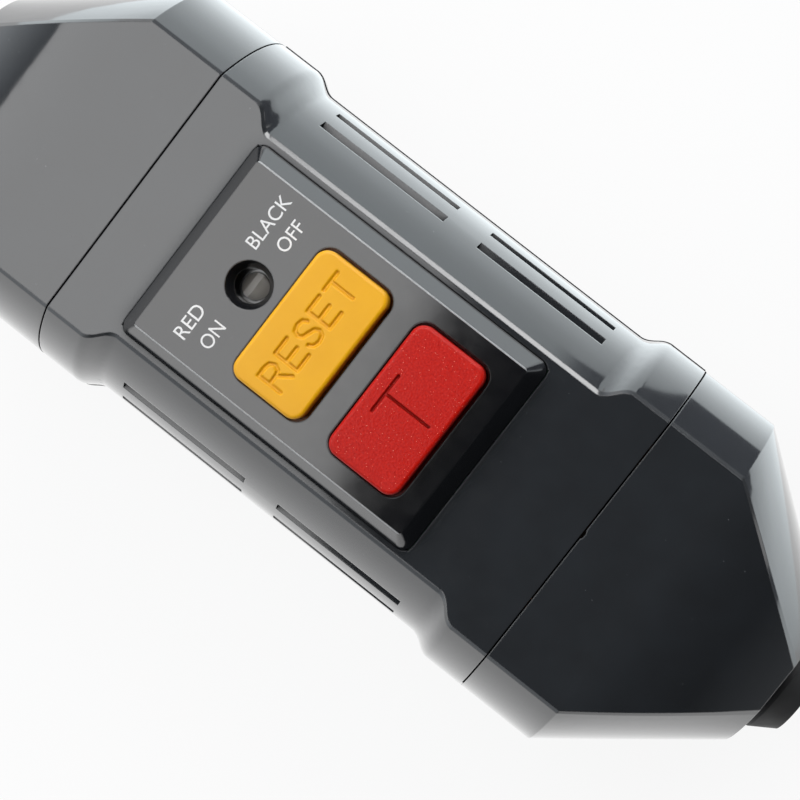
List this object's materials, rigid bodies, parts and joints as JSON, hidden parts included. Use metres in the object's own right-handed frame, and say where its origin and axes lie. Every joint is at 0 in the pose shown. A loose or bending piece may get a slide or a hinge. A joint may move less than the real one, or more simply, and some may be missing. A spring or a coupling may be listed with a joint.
{
  "type": "in-line residual current device",
  "caption": "Handheld in-line RCD body: waisted moulded housing, cable entry at each end, raised panel with reset and test buttons and a contact flag window.",
  "frame": {"origin": "on the flat back, under the middle of the body", "axes": "+X along the body from the supply cable to the load cable, +Z out of the front face"},
  "size_m": [0.1602, 0.0592, 0.0494],
  "materials": {
    "housing_plastic": "gloss",
    "yellow_plastic": "satin",
    "red_plastic": "satin",
    "clear_plastic": "clear",
    "black_nylon": "matt",
    "white_nylon": "matt",
    "board_laminate": "matt",
    "capacitor_case": "gloss",
    "varistor_coating": "gloss",
    "resistor_coating": "matt",
    "copper": "bright",
    "brass": "bright",
    "silver_contact": "satin",
    "steel": "zinc plated",
    "magnet_iron": "plated",
    "black_rubber": "matt"
  },
  "bodies": {
    "housing": {"rear_base": "housing_plastic", "front_shell": "housing_plastic", "load_terminal_cover": "housing_plastic", "supply_terminal_cover": "housing_plastic", "button_panel": "housing_plastic", "button_guide": "black_nylon", "indicator_lens": "clear_plastic", "reset_spring": "steel", "test_spring": "steel", "carrier_spring": "steel", "circuit_board": "board_laminate", "control_chip": "black_nylon", "film_capacitor": "capacitor_case", "varistor": "varistor_coating", "test_resistor": "resistor_coating", "test_contacts": "silver_contact", "supply_live_strap": "copper", "supply_neutral_strap": "copper", "load_live_strap": "copper", "load_neutral_strap": "copper", "earth_strap": "copper", "fixed_contacts": "silver_contact", "flag_pivot_pin": "steel", "solenoid_yoke": "magnet_iron", "solenoid_bobbin": "white_nylon", "solenoid_winding": "copper", "solenoid_pole": "magnet_iron", "sensing_core": "magnet_iron", "sensing_winding": "copper", "supply_terminals": "brass", "load_terminals": "brass", "terminal_screws": "steel", "load_cord_clamp": "black_nylon", "supply_cord_clamp": "black_nylon", "cord_clamp_screws": "steel", "load_cable_grommet": "black_rubber", "supply_cable_grommet": "black_rubber", "housing_screws": "steel", "cover_screws": "steel"},
    "reset_button": {"reset_button": "yellow_plastic"},
    "test_button": {"test_button": "red_plastic", "test_bridge": "copper"},
    "contact_carrier": {"contact_carrier": "white_nylon", "contact_bridges": "copper", "moving_contacts": "silver_contact", "solenoid_plunger": "magnet_iron"},
    "indicator_flag": {"indicator_flag": "black_nylon", "flag_red_face": "red_plastic"}
  },
  "joints": [
    {"name": "reset_press", "type": "slide", "parent": "housing", "child": "reset_button", "axis": [0, 0, -1], "range_m": [0, 0.0025], "stiffness_N_per_m": 600, "springref_m": -0.003, "deforming": ["reset_spring"]},
    {"name": "test_press", "type": "slide", "parent": "housing", "child": "test_button", "axis": [0, 0, -1], "range_m": [0, 0.00175], "stiffness_N_per_m": 600, "springref_m": -0.003, "deforming": ["test_spring"]},
    {"name": "contact_close", "type": "slide", "parent": "housing", "child": "contact_carrier", "axis": [0, 0, -1], "range_m": [0, 0.0025], "stiffness_N_per_m": 400, "springref_m": -0.004, "deforming": ["carrier_spring"]},
    {"name": "flag_tilt", "type": "hinge", "parent": "housing", "child": "indicator_flag", "pos_m": [-0.01775, 0, 0.0274], "axis": [0, 1, 0], "range_deg": [0, 20]}
  ],
  "couplings": [
    {"joint": "contact_close", "follows": "reset_press", "ratio": 1},
    {"joint": "flag_tilt", "follows": "reset_press", "rad_per_m": 139.62}
  ]
}
